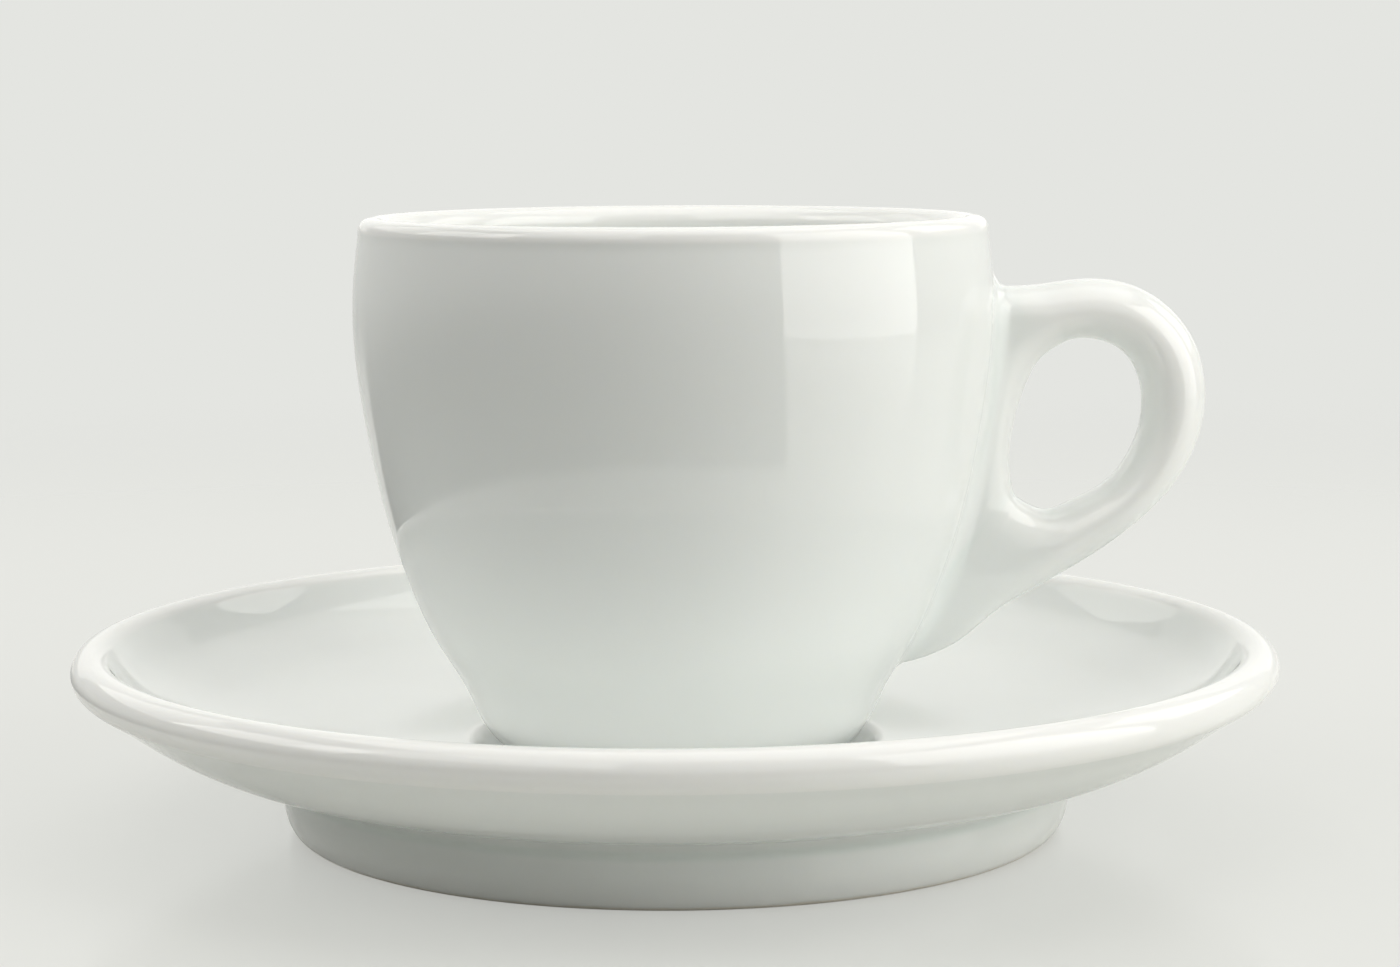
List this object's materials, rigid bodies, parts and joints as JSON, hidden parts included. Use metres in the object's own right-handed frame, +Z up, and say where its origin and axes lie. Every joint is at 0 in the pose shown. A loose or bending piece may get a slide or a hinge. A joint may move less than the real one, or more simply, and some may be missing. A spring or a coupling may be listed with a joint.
{
  "type": "espresso cup with saucer",
  "caption": "Small tapered espresso cup with a rounded ear handle, standing in the well of a dished saucer with a rolled rim and a foot ring.",
  "frame": {"origin": "centre of the saucer's foot ring, on the surface that it stands on", "axes": "+Z up along the shared axis of cup and saucer, +X towards the handle"},
  "size_m": [0.12, 0.12, 0.061],
  "materials": {
    "saucer_porcelain": "white gloss glaze, with a bare ring on the foot",
    "cup_porcelain": "white gloss glaze, with a bare ring on the foot"
  },
  "bodies": {
    "saucer": {"saucer": "saucer_porcelain"},
    "cup": {"cup_body": "cup_porcelain", "cup_handle": "cup_porcelain"}
  },
  "joints": [
    {"name": "cup_lift", "type": "slide", "parent": "saucer", "child": "cup", "axis": [0, 0, 1], "range_m": [0, 0.1]}
  ]
}
